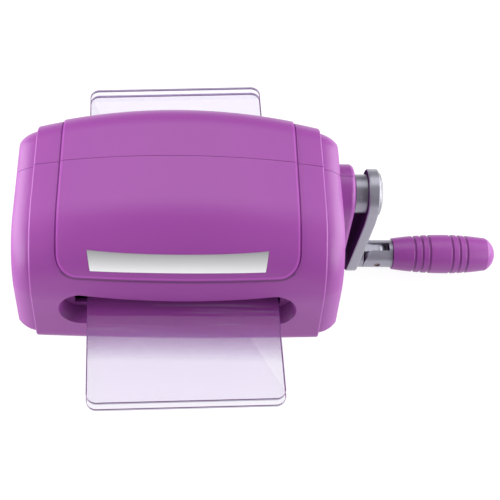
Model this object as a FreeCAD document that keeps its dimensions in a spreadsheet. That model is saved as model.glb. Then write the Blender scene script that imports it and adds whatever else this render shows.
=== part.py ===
"""Hand-cranked die cutting machine: a crowned two-part casing round a pair of geared rollers,
a folding crank on the right, and two clear plates lying in the nip.

X runs to the right along the rollers, Y to the back and Z up. The origin lies on the surface that
the machine stands on, under the rollers and half-way along them. All lengths are in millimetres.
"""
import FreeCAD, Part
import Sketcher
import math
import os
import re

from FreeCAD import Vector

# Driving sizes: name, value and what it is
SIZES = [
    ("plate_width", 152.4, "width of both clear plates"),
    ("plate_length", 308.0, "length of both clear plates"),
    ("plate_thickness", 3.0, "thickness of each clear plate"),
    ("plate_corner", 8.0, "corner radius of the clear plates"),
    ("plate_bevel", 0.5, "bevel round the faces of the clear plates"),
    ("plate_skew", 2.1, "turn of the plates in the slot, degrees"),
    ("plate_shift_side", 1.7, "plates' centre to the right of the middle"),
    ("plate_shift_front", 25.4, "plates' centre in front of the rollers"),
    ("plate_lead", 4.0, "how far the lower plate leads the upper one"),
    ("axis_height", 112.0, "height of the crank and upper roller axis"),
    ("roller_radius", 18.7, "radius of both rollers"),
    ("roller_end_gap", 2.0, "gap between a roller and its bushes"),
    ("nip_gap", 0.3, "gap between a roller and a plate"),
    ("shaft_radius", 6.0, "radius of the roller shafts"),
    ("running_gap", 0.05, "radial clearance of a turning shaft"),
    ("seat_gap", 0.05, "clearance of pieces that are pressed together"),
    ("gear_teeth", 16, "teeth on each roller gear"),
    ("gear_width", 10.0, "face width of a roller gear"),
    ("gear_gap", 4.0, "gap between the left frame and the gears"),
    ("frame_inner", 84.0, "middle of the machine to a side frame"),
    ("frame_thickness", 4.0, "thickness of a side frame"),
    ("frame_half_depth", 42.0, "half the depth of a side frame"),
    ("frame_height", 138.0, "top of the side frames above the table"),
    ("frame_foot", 16.0, "width of the foot bent out of a side frame"),
    ("bush_radius", 9.0, "outer radius of a roller bush"),
    ("bush_stand_out", 2.0, "how far a roller bush stands out of its frame"),
    ("rod_radius", 5.0, "radius of a tie rod"),
    ("rod_depth", 34.0, "tie rod to the roller axis, front to back"),
    ("rod_top", 130.0, "height of the upper tie rods"),
    ("rod_low", 30.0, "height of the lower tie rods"),
    ("screw_radius", 2.0, "shank radius of the frame screws"),
    ("screw_head", 4.0, "head radius of the frame screws"),
    ("screw_head_high", 3.0, "head height of the frame screws"),
    ("screw_grip", 14.0, "shank length of the frame screws"),
    ("foot_radius", 11.0, "radius of a rubber foot"),
    ("foot_height", 5.0, "height of a rubber foot"),
    ("foot_side", 92.0, "rubber foot to the middle, sideways"),
    ("foot_depth", 33.0, "rubber foot to the base's own middle line"),
    ("base_half_width", 104.0, "half the width of the base in its opening"),
    ("base_half_depth", 46.0, "half the depth of the base in its opening"),
    ("base_centre", 12.0, "base's own middle line in front of the rollers"),
    ("base_flange", 2.0, "how far the base's flange laps the casing"),
    ("base_flange_high", 3.6, "thickness of the base's flange"),
    ("body_half", 116.0, "half the width of the casing's middle part"),
    ("cap_length", 15.0, "length of the smaller end of the casing"),
    ("cap_step", 5.0, "step from the middle part down to an end"),
    ("cap_round", 9.0, "how far an end draws in at its outer face"),
    ("casing_wall", 3.0, "wall of the casing"),
    ("rim_round", 1.5, "rounding of the rims at the ends of the casing's middle part"),
    ("casing_top", 150.0, "height of the casing at its shoulders' ends"),
    ("crown_top", 12.0, "rise of the casing's top at the middle"),
    ("front_top", 80.0, "front shoulder in front of the seam"),
    ("front_top_crown", 11.0, "how far the front shoulder draws in at the middle"),
    ("front_wall", 97.0, "front wall above the slot, in front of the seam"),
    ("front_lip", 104.0, "front lip in front of the seam"),
    ("front_crown", 2.0, "bulge of the front at the middle"),
    ("rear_top", 43.6, "rear shoulder behind the seam"),
    ("rear_top_crown", 7.8, "bulge of the rear shoulder at the middle"),
    ("rear_wall", 66.0, "rear wall above the slot, behind the seam"),
    ("rear_lip", 70.0, "rear lip behind the seam"),
    ("rear_crown", 12.0, "bulge of the rear at the middle"),
    ("wall_bend", 105.0, "height where the sloped wall meets the slot band"),
    ("lip_height", 51.0, "height of the lip under the slot"),
    ("keel_front", 68.0, "front edge of the casing's underside"),
    ("keel_rear", 44.0, "rear edge of the casing's underside"),
    ("front_shoulder", 58.0, "radius of the casing's front shoulder"),
    ("rear_shoulder", 30.0, "radius of the casing's rear shoulder"),
    ("bend_round", 40.0, "radius where the walls bend at the slot"),
    ("lip_round", 12.0, "radius of the lips under the slot"),
    ("keel_round", 14.0, "radius of the casing's lower edges"),
    ("seam_gap", 0.4, "open line between the two casings"),
    ("panel_half", 94.0, "half the width of the raised panel"),
    ("panel_low", 124.2, "lower edge of the raised panel"),
    ("panel_corner", 16.0, "corner radius of the raised panel"),
    ("panel_sag", 3.0, "how far the panel's lower edge bows down at the middle"),
    ("panel_raise", 1.4, "height of the raised panel"),
    ("panel_line", 1.4, "width of the sunk line round the raised panel"),
    ("panel_line_deep", 1.2, "depth of the sunk line round the raised panel"),
    ("label_half", 70.0, "half the width of the label plate's upper edge"),
    ("label_taper", 2.0, "how much the label plate narrows downwards, each side"),
    ("label_low", 128.5, "lower edge of the label plate at its ends"),
    ("label_high", 13.4, "height of the label plate"),
    ("label_sag", 1.4, "how far the label plate's edges bow down at the middle"),
    ("label_thickness", 0.8, "thickness of the label plate"),
    ("label_gap", 0.2, "gap round the label plate"),
    ("scoop_half", 97.5, "half the width of the scooped slot"),
    ("scoop_high", 38.0, "height of the scooped slot at the wall"),
    ("scoop_centre", 89.0, "middle height of the scooped slot"),
    ("scoop_sag", 5.0, "how far the scoop's roof bows down at the middle"),
    ("scoop_flare", 5.0, "how much the scoop opens outwards, each side"),
    ("scoop_depth", 20.0, "depth of the scoop"),
    ("throat_half", 83.0, "half the width of the throat"),
    ("throat_low", 79.0, "floor of the throat"),
    ("throat_high", 100.0, "roof of the throat"),
    ("boss_radius", 24.3, "radius of the side boss round the crank"),
    ("boss_end", 143.5, "outer face of the arched side boss"),
    ("boss_foot", 14.0, "lower end of the side boss above the table"),
    ("boss_round", 4.0, "rounding of the side boss"),
    ("crank_bush_radius", 12.0, "outer radius of the crank bush"),
    ("crank_bush_length", 24.5, "length of the crank bush"),
    ("post_gap", 1.0, "gap between the gears and the casing's screw posts"),
    ("casing_screw_low", 36.0, "height of the lower casing screws"),
    ("casing_screw_high", 90.0, "height of the upper casing screws"),
    ("casing_post", 5.0, "radius of the casing's screw posts"),
    ("casing_screw_seat", 9.0, "depth of a casing screw's seat behind the seam"),
    ("collar_radius", 16.0, "radius of the crank collar"),
    ("collar_length", 10.6, "length of the crank collar"),
    ("collar_gap", 0.4, "gap between the boss and the collar"),
    ("collar_bevel", 1.0, "bevel of the collar's inner edge"),
    ("arm_thickness", 9.5, "thickness of the crank arm"),
    ("arm_round", 1.6, "rounding of the arm's edges"),
    ("arm_length", 92.5, "crank axis to the handle's axis"),
    ("arm_hub", 20.6, "radius of the arm's hub end"),
    ("arm_end", 15.5, "radius of the arm's handle end"),
    ("arm_bend", 18.0, "crank axis down to the arm's bend"),
    ("arm_lean", 4.0, "how far the arm leans in at the handle"),
    ("hub_cap_radius", 18.2, "radius of the hub cap"),
    ("hub_cap_high", 4.0, "height of the hub cap"),
    ("lug_radius", 12.2, "radius of the handle's lug and fork"),
    ("lug_seat", 5.5, "how deep the lug sits in the arm"),
    ("lug_length", 4.9, "round part of the lug outside the arm"),
    ("tongue_thickness", 7.4, "thickness of the lug's tongue"),
    ("tongue_radius", 9.6, "radius of the tongue's end round the pin"),
    ("fold_gap", 0.4, "clearance round the folding joint"),
    ("pin_radius", 2.6, "radius of the fold pin"),
    ("pin_inset", 1.2, "how far the pin's ends lie inside the fork"),
    ("fork_length", 25.6, "length of the handle's fork"),
    ("fork_window", 22.6, "depth of the fork's slot"),
    ("grip_length", 91.9, "length of the grip"),
    ("grip_start", 13.9, "radius of the grip at the fork"),
    ("grip_middle", 17.3, "largest radius of the grip"),
    ("grip_finish", 14.5, "radius of the grip at its domed end"),
    ("grip_dome", 8.5, "length of the grip's domed end"),
    ("grip_gap", 0.4, "gap between fork and grip"),
    ("rib_pitch", 6.5, "spacing of the grooves on the grip"),
    ("rib_depth", 1.1, "depth of a groove on the grip"),
    ("rib_reach", 1.4, "half the width of a groove on the grip"),
    ("rib_first", 18.7, "first groove from the grip's start"),
    ("rib_second", 51.6, "second set of grooves from the grip's start"),
    ("spindle_radius", 4.5, "radius of the grip's spindle"),
    ("spindle_length", 74.0, "length of the spindle inside the grip"),
    ("spindle_room", 1.0, "room beyond the spindle's end"),
    ("clip_radius", 7.0, "radius of the retaining clips on the spindle"),
    ("clip_thickness", 1.5, "thickness of a retaining clip"),
    ("clip_gap", 0.3, "gap between a bush and its retaining clip"),
    ("shaft_stub", 3.0, "how far a roller shaft stands out of its last piece"),
]

doc = FreeCAD.newDocument("die_cutting_machine")
sheet = doc.addObject("Spreadsheet::Sheet", "sizes")
for row, (name, amount, meaning) in enumerate(SIZES, start=1):
    sheet.set("A%d" % row, meaning)
    sheet.set("B%d" % row, str(amount))
    sheet.setAlias("B%d" % row, name)
doc.recompute()

RIGHT = Vector(1, 0, 0)
BACK = Vector(0, 1, 0)
UP = Vector(0, 0, 1)
NEAR = 1e-3
NAMES = {name for name, amount, meaning in SIZES}
PARTS = []


def value(formula):
    """The number that a formula of size names gives."""
    return float(sheet.evalExpression(formula))


def bound(formula):
    """The same formula as an expression that other objects can hold."""
    return re.sub(r"[a-z][a-z_]*", lambda m: "sizes." + m[0] if m[0] in NAMES else m[0], formula)


# Heights and places that follow from the driving sizes
PLATE_TOP = "(axis_height - roller_radius - nip_gap)"
LOWER_AXIS = "(axis_height - 2 * roller_radius - 2 * nip_gap - 2 * plate_thickness)"
FLOOR = "foot_height"
BASE_SEAT = "(casing_wall + panel_raise + label_gap)"
BASE_TOP = "(foot_height + casing_wall + panel_raise + label_gap + base_flange_high)"
FRAME_OUTER = "(frame_inner + frame_thickness)"
COLLAR_START = "(boss_end + collar_gap)"
ARM_START = "(boss_end + collar_gap + collar_length)"
ARM_FACE = "(boss_end + collar_gap + collar_length + arm_thickness)"
HANDLE_AXIS = "(axis_height - arm_length)"
LUG_START = "(boss_end + collar_gap + collar_length + arm_thickness - arm_lean - lug_seat)"
LUG_FACE = "(boss_end + collar_gap + collar_length + arm_thickness - arm_lean + lug_length)"
PIN_PLACE = "(%s + lug_radius + fold_gap)" % LUG_FACE
FORK_START = "(%s + fold_gap)" % LUG_FACE
FORK_END = "(%s + fold_gap + fork_length)" % LUG_FACE
GRIP_START = "(%s + fold_gap + fork_length + grip_gap)" % LUG_FACE


def origin_part(body, role):
    """One of a body's own origin planes or axes."""
    return next(item for item in body.Origin.OriginFeatures if item.Role == role)


def new_body(label):
    """An empty body with its own label."""
    body = doc.addObject("PartDesign::Body", label)
    body.Label = label
    return body


def place(thing, x="0", y="0", z="0"):
    """Tie an object's place to formulas of the sizes."""
    for axis, formula in (("x", x), ("y", y), ("z", z)):
        thing.setExpression("Placement.Base." + axis, bound(formula))


def outline(body, name, plane, corners):
    """A closed outline of straight lines whose corners are tied to formulas."""
    drawing = body.newObject("Sketcher::SketchObject", name)
    drawing.AttachmentSupport = [(origin_part(body, plane), "")]
    drawing.MapMode = "FlatFace"
    points = [Vector(value(across), value(up), 0) for across, up in corners]
    count = len(points)
    for index in range(count):
        drawing.addGeometry(Part.LineSegment(points[index], points[(index + 1) % count]), False)
    for index in range(count):
        drawing.addConstraint(Sketcher.Constraint("Coincident", index, 2, (index + 1) % count, 1))
    for index, (across, up) in enumerate(corners):
        for kind, formula in (("DistanceX", across), ("DistanceY", up)):
            number = drawing.addConstraint(Sketcher.Constraint(kind, -1, 1, index, 1, value(formula)))
            drawing.setExpression("Constraints[%d]" % number, bound(formula))
    return drawing


def ring(body, name, plane, radius, across="0", up="0"):
    """A circle whose centre and radius are tied to formulas."""
    drawing = body.newObject("Sketcher::SketchObject", name)
    drawing.AttachmentSupport = [(origin_part(body, plane), "")]
    drawing.MapMode = "FlatFace"
    centre = Vector(value(across), value(up), 0)
    drawing.addGeometry(Part.Circle(centre, Vector(0, 0, 1), value(radius)), False)
    for kind, formula in (("DistanceX", across), ("DistanceY", up)):
        number = drawing.addConstraint(Sketcher.Constraint(kind, -1, 1, 0, 3, value(formula)))
        drawing.setExpression("Constraints[%d]" % number, bound(formula))
    number = drawing.addConstraint(Sketcher.Constraint("Radius", 0, value(radius)))
    drawing.setExpression("Constraints[%d]" % number, bound(radius))
    return drawing


def pad(body, drawing, length, midplane=False):
    """Raise an outline by a length tied to a formula."""
    feature = body.newObject("PartDesign::Pad", drawing.Name + "_pad")
    feature.Profile = drawing
    feature.setExpression("Length", bound(length))
    feature.Midplane = midplane
    doc.recompute()
    return feature


def pocket(body, drawing, length, reverse=False):
    """Sink an outline into the body, and see that it does cut."""
    before = body.Shape.Volume
    feature = body.newObject("PartDesign::Pocket", drawing.Name + "_pocket")
    feature.Profile = drawing
    feature.setExpression("Length", bound(length))
    feature.Midplane = True
    feature.Reversed = reverse
    doc.recompute()
    if body.Shape.Volume > before - 1e-6:
        raise RuntimeError(drawing.Name + " cuts nothing")
    return feature


def turned(label, corners, x="0", z="0"):
    """A piece turned about a line along X, from corners given as (along, radius) formulas."""
    body = new_body(label)
    drawing = outline(body, label + "_profile", "XZ_Plane", corners)
    feature = body.newObject("PartDesign::Revolution", label + "_turned")
    feature.Profile = drawing
    feature.ReferenceAxis = (origin_part(body, "X_Axis"), [""])
    feature.Angle = 360
    doc.recompute()
    place(body, x=x, z=z)
    return body


def tube_corners(start, end, inner, outer):
    """Corners of a plain tube's half section."""
    return [(start, inner), (end, inner), (end, outer), (start, outer)]


def keep(thing, label=None):
    """List an object as a finished piece under its label."""
    if label:
        thing.Label = label
    PARTS.append(thing)
    return thing


def made(label, shape, at=Vector(), turn=0):
    """A piece whose shape is worked out here from the sizes, set at a place and turned about Z."""
    feature = doc.addObject("Part::Feature", label)
    feature.Shape = shape
    feature.Placement = FreeCAD.Placement(at, FreeCAD.Rotation(UP, turn))
    return keep(feature, label)


def rod(radius, length, start, direction):
    """A plain cylinder."""
    return Part.makeCylinder(radius, length, start, direction)


def block(low, high):
    """A box between two opposite corners."""
    size = high - low
    return Part.makeBox(size.x, size.y, size.z, low)


# Casing sections

def inset_corners(corners, distance):
    """Move every side of a convex outline inwards by one distance. Corners run anticlockwise."""
    moved = []
    count = len(corners)
    for index in range(count):
        before, here, after = corners[index - 1], corners[index], corners[(index + 1) % count]
        first = (here - before).normalize()
        second = (after - here).normalize()
        first_in = Vector(-first.y, first.x, 0)
        second_in = Vector(-second.y, second.x, 0)
        reach = distance / (1 + first_in.dot(second_in))
        moved.append(here + (first_in + second_in) * reach)
    return moved


def rounded_wire(corners, radii, station):
    """A closed wire of lines and arcs in the plane X = station, from flat (Y, Z) corners."""
    count = len(corners)
    runs = []
    for index in range(count):
        before, here, after = corners[index - 1], corners[index], corners[(index + 1) % count]
        back = (before - here).normalize()
        ahead = (after - here).normalize()
        half_turn = math.acos(max(-1.0, min(1.0, back.dot(ahead)))) / 2
        reach = radii[index] / math.tan(half_turn)
        middle = here + (back + ahead).normalize() * (radii[index] / math.sin(half_turn) - radii[index])
        runs.append((here + back * reach, middle, here + ahead * reach))
    lift = [[Vector(station, point.x, point.y) for point in run] for run in runs]
    edges = []
    for index in range(count):
        enter, middle, leave = lift[index]
        edges.append(Part.Arc(enter, middle, leave).toShape())
        edges.append(Part.LineSegment(leave, lift[(index + 1) % count][0]).toShape())
    return Part.Wire(edges)


def casing_section(station, inset):
    """The casing's section at one place along X, drawn in by an inset."""
    share = min(1.0, abs(station) / value("body_half"))
    crown = 1 - share * share
    top = value("casing_top") + value("crown_top") * crown
    front_crown = value("front_crown") * crown
    rear_crown = value("rear_crown") * crown
    corners = [
        Vector(-value("front_top") + value("front_top_crown") * crown, top),
        Vector(-value("front_wall") - front_crown, value("wall_bend")),
        Vector(-value("front_lip") - front_crown, value("lip_height")),
        Vector(-value("keel_front"), value(FLOOR)),
        Vector(value("keel_rear"), value(FLOOR)),
        Vector(value("rear_lip") + rear_crown, value("lip_height")),
        Vector(value("rear_wall") + rear_crown, value("wall_bend")),
        Vector(value("rear_top") + value("rear_top_crown") * crown, top),
    ]
    names = ("front_shoulder", "bend_round", "lip_round", "keel_round", "rear_shoulder")
    front, bend, lip, keel, rear = (max(1.0, value(name) - inset) for name in names)
    radii = [front, bend, lip, keel, keel, lip, bend, rear]
    return rounded_wire(inset_corners(corners, inset), radii, station)


def casing_middle(inset):
    """The crowned middle part of the casing as a solid."""
    half = value("body_half")
    stations = [half * share for share in (-1, -0.5, 0, 0.5, 1)]
    solid = Part.makeLoft([casing_section(station, inset) for station in stations], True, False)
    rims = [edge for edge in solid.Edges if abs(abs(edge.CenterOfMass.x) - half) < NEAR]
    return solid.makeFillet(value("rim_round"), [edge for edge in rims if edge.BoundBox.XLength < NEAR])


def casing_end(side):
    """One of the smaller ends of the casing, drawn in evenly up to a bevelled edge."""
    half = value("body_half")
    length = value("cap_length")
    step = value("cap_step")
    draw = value("cap_round")
    steps = [(-0.2, 0), (0, 0), (0.9, 0.8), (1, 1)]
    wires = [casing_section(side * (half + length * along), step + draw * drawn) for along, drawn in steps]
    return Part.makeLoft(wires, True, False)


def casing_hollow():
    """The space inside the casing."""
    half = value("body_half")
    wall = value("casing_wall")
    skin = wall + value("panel_raise")
    end = half + value("cap_length") - wall
    step = wall + value("cap_step")
    stations = [half * share for share in (-0.97, -0.75, -0.5, -0.25, 0, 0.25, 0.5, 0.75, 0.97)]
    middle = [casing_section(station, skin) for station in stations]
    narrow = [casing_section(-end, step + value("cap_round")), casing_section(-half, step)]
    broad = [casing_section(half, step), casing_section(end, step + value("cap_round"))]
    return Part.makeLoft(narrow + middle + broad, True, True)


def stadium(half_width, half_height, place_y):
    """A wire with round ends and a bowed roof in the plane Y = place_y, about the scoop's middle height."""
    centre = value("scoop_centre")
    flat = half_width - half_height
    low = centre - half_height
    high = centre + half_height
    corner = [Vector(x, place_y, z) for x, z in ((-flat, low), (flat, low), (flat, high), (-flat, high))]
    right = Part.Arc(corner[1], Vector(half_width, place_y, centre), corner[2]).toShape()
    left = Part.Arc(corner[3], Vector(-half_width, place_y, centre), corner[0]).toShape()
    floor = Part.LineSegment(corner[0], corner[1]).toShape()
    roof = Part.Arc(corner[2], Vector(0, place_y, high - value("scoop_sag")), corner[3]).toShape()
    return Part.Wire([floor, right, roof, left])


def scoop(side, extra):
    """The flared scoop at the front (side -1) or the rear (side 1), grown by extra."""
    lip = value("front_lip + front_crown") if side < 0 else value("rear_lip + rear_crown")
    deep = lip - value("scoop_depth") - extra
    flare = value("scoop_flare")
    half = value("scoop_half") + extra
    high = value("scoop_high") / 2 + extra
    middle = (lip + deep) / 2
    steps = [(-1, deep), (-0.7, middle), (0, lip - flare * 0.6), (1.2, lip + flare)]
    wires = [stadium(half + flare * wide, high + flare / 2 * wide, side * depth) for wide, depth in steps]
    return Part.makeLoft(wires, True, False)


def panel_window(grow):
    """A solid right through the casing from front to back in the panel's outline, grown by a distance."""
    far = value("front_lip + rear_lip")
    half = value("panel_half") + grow
    low = value("panel_low") - grow
    high = value("casing_top + crown_top + casing_wall")
    corner = [Vector(x, -far, z) for x, z in ((-half, low), (half, low), (half, high), (-half, high))]
    lower = Part.Arc(corner[0], Vector(0, -far, low - value("panel_sag")), corner[1]).toShape()
    sides = Part.makePolygon(corner[1:] + corner[:1])
    solid = Part.Face(Part.Wire([lower] + sides.Edges)).extrude(BACK * 2 * far)
    bottom = [edge for edge in solid.Edges if edge.BoundBox.ZMax < low + NEAR and edge.BoundBox.YLength > far]
    return solid.makeFillet(value("panel_corner") + grow, bottom)


def label_window(gap):
    """A bowed block through the front wall at the label's place, grown by a gap."""
    front = -value("front_lip + front_crown")
    wide = value("label_half") + gap
    narrow = value("label_half - label_taper") + gap
    low = value("label_low") - gap
    high = value("label_low + label_high") + gap
    sag = value("label_sag")
    corner = [Vector(x, front, z) for x, z in ((-narrow, low), (narrow, low), (wide, high), (-wide, high))]
    lower = Part.Arc(corner[0], Vector(0, front, low - sag), corner[1]).toShape()
    upper = Part.Arc(corner[2], Vector(0, front, high - sag), corner[3]).toShape()
    right = Part.LineSegment(corner[1], corner[2]).toShape()
    left = Part.LineSegment(corner[3], corner[0]).toShape()
    return Part.Face(Part.Wire([lower, right, upper, left])).extrude(BACK * -front)


def side_boss():
    """The arched boss on the right end that carries the crank."""
    radius = value("boss_radius")
    end = value("boss_end")
    start = end - value("crank_bush_length")
    axis = value("axis_height")
    foot = value("boss_foot")
    arch = rod(radius, end - start, Vector(start, 0, axis), RIGHT)
    leg = block(Vector(start, -radius, foot), Vector(end, radius, axis))
    solid = arch.fuse(leg).removeSplitter()
    rim = [edge for edge in solid.Edges if edge.BoundBox.XMin > end - NEAR]
    return solid.makeFillet(value("boss_round"), rim)


def casing_screw_places():
    """Where the casing screws lie, as (X, Z) pairs."""
    side = value("frame_inner + frame_thickness + gear_gap + gear_width + casing_post + post_gap")
    heights = (value("casing_screw_low"), value("casing_screw_high"))
    return [(x, z) for x in (-side, side) for z in heights]


def casing_shell():
    """Both casings as one shell, before the seam parts them."""
    wall = value("casing_wall")
    far = value("front_lip + rear_lip")
    axis = value("axis_height")
    panel = panel_window(0)
    core = casing_middle(value("panel_raise + panel_line_deep"))
    sunk = panel_window(value("panel_line")).cut([panel, core])
    middle = casing_middle(value("panel_raise")).cut(sunk)
    outer = middle.fuse([casing_middle(0).common(panel), casing_end(-1), casing_end(1)])
    shell = outer.cut(casing_hollow())
    inside = [scoop(-1, wall), scoop(1, wall)]
    inside += [rod(value("casing_post"), 2 * far, Vector(x, -far, z), BACK) for x, z in casing_screw_places()]
    shell = shell.fuse([outer.common(solid) for solid in inside] + [side_boss()])
    throat_half = value("throat_half")
    cuts = [scoop(-1, 0), scoop(1, 0)]
    throat_low = Vector(-throat_half, -far, value("throat_low"))
    cuts.append(block(throat_low, Vector(throat_half, far, value("throat_high"))))
    bush_start = value("boss_end - crank_bush_length")
    bush_hole = value("crank_bush_radius + seat_gap")
    cuts.append(rod(bush_hole, value("crank_bush_length"), Vector(bush_start, 0, axis), RIGHT))
    base_front = -value("base_centre + base_half_depth")
    base_rear = value("base_half_depth - base_centre")
    base_half = value("base_half_width")
    cuts.append(block(Vector(-base_half, base_front, 0), Vector(base_half, base_rear, value(BASE_TOP))))
    head_seat = value("casing_screw_seat - screw_head_high")
    length = value("screw_grip + screw_head_high")
    pilot = value("screw_radius + seat_gap")
    counterbore = value("screw_head + 2 * label_gap")
    for x, z in casing_screw_places():
        cuts.append(rod(pilot, length, Vector(x, head_seat - value("screw_grip"), z), BACK))
        cuts.append(rod(counterbore, far, Vector(x, head_seat, z), BACK))
    cuts.append(label_window(value("label_gap")).cut(casing_middle(value("label_thickness"))))
    return shell.cut(cuts)


def largest_solid(shape):
    """The main solid of a cut."""
    return max(shape.Solids, key=lambda solid: solid.Volume)


def casings():
    """Front and rear casing, parted at the seam in the plane of the crank."""
    shell = casing_shell()
    far = value("front_lip + rear_lip")
    reach = value("boss_end + body_half")
    front = block(Vector(-reach, -far, -far), Vector(reach, 0, 2 * far))
    rear = block(Vector(-reach, value("seam_gap"), -far), Vector(reach, far, 2 * far))
    made("front_casing", largest_solid(shell.common(front)))
    made("rear_casing", largest_solid(shell.common(rear)))


def label_plate():
    """The blank plate let into the front of the raised panel."""
    sheet_of_label = casing_middle(0).common(label_window(0))
    made("label_plate", largest_solid(sheet_of_label.cut(casing_middle(value("label_thickness")))))


casings()
label_plate()


# Base and feet

FOOT_SCREWS = ("-frame_half_depth * 0.45 - base_centre / 2", "frame_half_depth * 0.45 - base_centre / 2")


def rectangle(half_width, half_depth):
    """Corners of a rectangle about the origin."""
    signs = ((-1, -1), (1, -1), (1, 1), (-1, 1))
    return [("%d * (%s)" % (x, half_width), "%d * (%s)" % (y, half_depth)) for x, y in signs]


def base_plate():
    """The base that closes the casing from below, with a flange that laps over its floor."""
    body = new_body("base_plate")
    inner = rectangle("base_half_width - label_gap", "base_half_depth - label_gap")
    lower = outline(body, "base_inner", "XY_Plane", inner)
    pad(body, lower, BASE_SEAT)
    flange = rectangle("base_half_width + base_flange", "base_half_depth + base_flange")
    upper = outline(body, "base_flange", "XY_Plane", flange)
    upper.setExpression("AttachmentOffset.Base.z", bound(BASE_SEAT))
    pad(body, upper, "base_flange_high")
    for side in (-1, 1):
        across = "%d * (frame_inner + (frame_thickness + frame_foot) / 2)" % side
        for number, depth in enumerate(FOOT_SCREWS):
            name = "base_hole_%s_%d" % ("left" if side < 0 else "right", number)
            hole = ring(body, name, "XY_Plane", "screw_radius + seat_gap", across, depth + " + base_centre")
            hole.setExpression("AttachmentOffset.Base.z", bound(BASE_SEAT + " + base_flange_high"))
            pocket(body, hole, "2 * base_flange_high")
    place(body, y="-base_centre", z=FLOOR)
    keep(body)


base_plate()


def rubber_feet():
    """Four round feet under the base."""
    feet = []
    for x in (-value("foot_side"), value("foot_side")):
        for y in (-value("foot_depth"), value("foot_depth")):
            start = Vector(x, y - value("base_centre"), 0)
            foot = rod(value("foot_radius"), value("foot_height"), start, UP)
            rim = [edge for edge in foot.Edges if edge.BoundBox.ZMax < NEAR]
            feet.append(foot.makeChamfer(value("foot_height") / 5, rim))
    made("rubber_feet", Part.makeCompound(feet))


rubber_feet()


# Side frames, tie rods and bushes

def side_frame(label, side):
    """A side frame: an upright plate with a foot bent outwards, bored for the bushes and screws."""
    body = new_body(label)
    upright = [("-frame_half_depth", BASE_TOP), ("frame_half_depth", BASE_TOP),
               ("frame_half_depth", "frame_height"), ("-frame_half_depth", "frame_height")]
    drawing = outline(body, label + "_upright", "YZ_Plane", upright)
    pad(body, drawing, "frame_thickness").Reversed = side < 0
    low = "%s + frame_thickness" % BASE_TOP
    foot = [("-frame_half_depth", BASE_TOP), ("frame_half_depth", BASE_TOP),
            ("frame_half_depth", low), ("-frame_half_depth", low)]
    pad(body, outline(body, label + "_foot", "YZ_Plane", foot), "frame_foot").Reversed = side < 0
    doc.recompute()
    for number, height in enumerate(("axis_height", LOWER_AXIS)):
        name = "%s_bush_hole_%d" % (label, number)
        hole = ring(body, name, "YZ_Plane", "bush_radius + seat_gap", "0", height)
        pocket(body, hole, "4 * frame_thickness")
    for number, (depth, height) in enumerate(ROD_PLACES):
        name = "%s_rod_hole_%d" % (label, number)
        hole = ring(body, name, "YZ_Plane", "screw_radius + seat_gap", depth, height)
        pocket(body, hole, "4 * frame_thickness")
    for number, depth in enumerate(FOOT_SCREWS):
        middle = "%d * (frame_thickness + frame_foot) / 2" % side
        name = "%s_foot_hole_%d" % (label, number)
        hole = ring(body, name, "XY_Plane", "screw_radius + seat_gap", middle, depth)
        pocket(body, hole, "2 * (%s + frame_thickness) + 1" % BASE_TOP)
    edge = "frame_inner" if side > 0 else "-frame_inner"
    place(body, x=edge)
    keep(body)


ROD_PLACES = [(depth, height) for height in ("rod_top", "rod_low") for depth in ("-rod_depth", "rod_depth")]
side_frame("left_side_frame", -1)
side_frame("right_side_frame", 1)


def tie_rods():
    """Four rods that hold the side frames apart, tapped at both ends."""
    half = value("frame_inner")
    rods = []
    for depth, height in ROD_PLACES:
        start = Vector(-half, value(depth), value(height))
        bar = rod(value("rod_radius"), 2 * half, start, RIGHT)
        deep = value("screw_grip")
        for end in (-half, half - deep):
            start = Vector(end, value(depth), value(height))
            hole = rod(value("screw_radius + seat_gap"), deep, start, RIGHT)
            bar = bar.cut(hole)
        rods.append(bar)
    made("tie_rods", Part.makeCompound(rods))


def screw(tip, direction):
    """A pan-head screw whose shank ends at tip and whose head lies along direction."""
    shank = rod(value("screw_radius"), value("screw_grip"), tip, direction)
    seat = tip + direction * value("screw_grip")
    head = rod(value("screw_head"), value("screw_head_high"), seat, direction)
    rim_place = tip + direction * value("screw_grip + screw_head_high")
    rim = [edge for edge in head.Edges if edge.CenterOfMass.distanceToPoint(rim_place) < NEAR]
    return shank.fuse(head.makeChamfer(value("screw_head_high") / 4, rim))


def tie_rod_screws():
    """Screws through the side frames into the tie rods."""
    screws = []
    for side in (-1, 1):
        for depth, height in ROD_PLACES:
            outer = value(FRAME_OUTER) - value("screw_grip")
            screws.append(screw(Vector(side * outer, value(depth), value(height)), RIGHT * side))
    made("tie_rod_screws", Part.makeCompound(screws))


tie_rods()
tie_rod_screws()


def foot_screws():
    """Screws through the frames' feet into the base."""
    top = value(BASE_TOP) + value("frame_thickness")
    across = value("frame_inner + (frame_thickness + frame_foot) / 2")
    screws = []
    for side in (-1, 1):
        for depth in FOOT_SCREWS:
            tip = Vector(side * across, value(depth), top - value("base_flange_high + frame_thickness"))
            shank = rod(value("screw_radius"), value("base_flange_high + frame_thickness"), tip, UP)
            head = rod(value("screw_head"), value("screw_head_high"), Vector(tip.x, tip.y, top), UP)
            screws.append(shank.fuse(head))
    made("frame_foot_screws", Part.makeCompound(screws))


foot_screws()


def bush_set(label, height):
    """A pair of plain bushes that carry one roller shaft in the side frames."""
    bushes = []
    for side in (-1, 1):
        length = value("frame_thickness + 2 * bush_stand_out")
        inner = value("frame_inner - bush_stand_out")
        low = inner if side > 0 else -inner - length
        start = Vector(low, 0, value(height))
        outside = rod(value("bush_radius"), length, start, RIGHT)
        bushes.append(outside.cut(rod(value("shaft_radius + running_gap"), length, start, RIGHT)))
    made(label, Part.makeCompound(bushes))


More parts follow.
